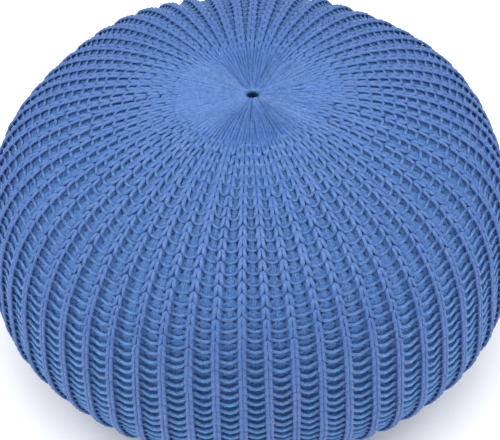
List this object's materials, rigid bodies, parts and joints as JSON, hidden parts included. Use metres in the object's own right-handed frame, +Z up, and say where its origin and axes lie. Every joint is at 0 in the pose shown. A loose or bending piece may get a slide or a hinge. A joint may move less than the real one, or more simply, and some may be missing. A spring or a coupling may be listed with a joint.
{
  "type": "knitted pouf",
  "caption": "Round stuffed floor pouf in a rib-knit cover, its ribs drawn together at the crown, with a flat base to sit on the floor.",
  "frame": {"origin": "centre of the flat base, on the floor", "axes": "+Z up through the gathered crown, -Y the side shown in the picture"},
  "size_m": [0.4996, 0.4996, 0.297],
  "materials": {
    "knit_yarn": "matt cotton cord, knitted in a deep rib"
  },
  "bodies": {
    "root": {"knitted_cover": "knit_yarn"}
  },
  "joints": []
}
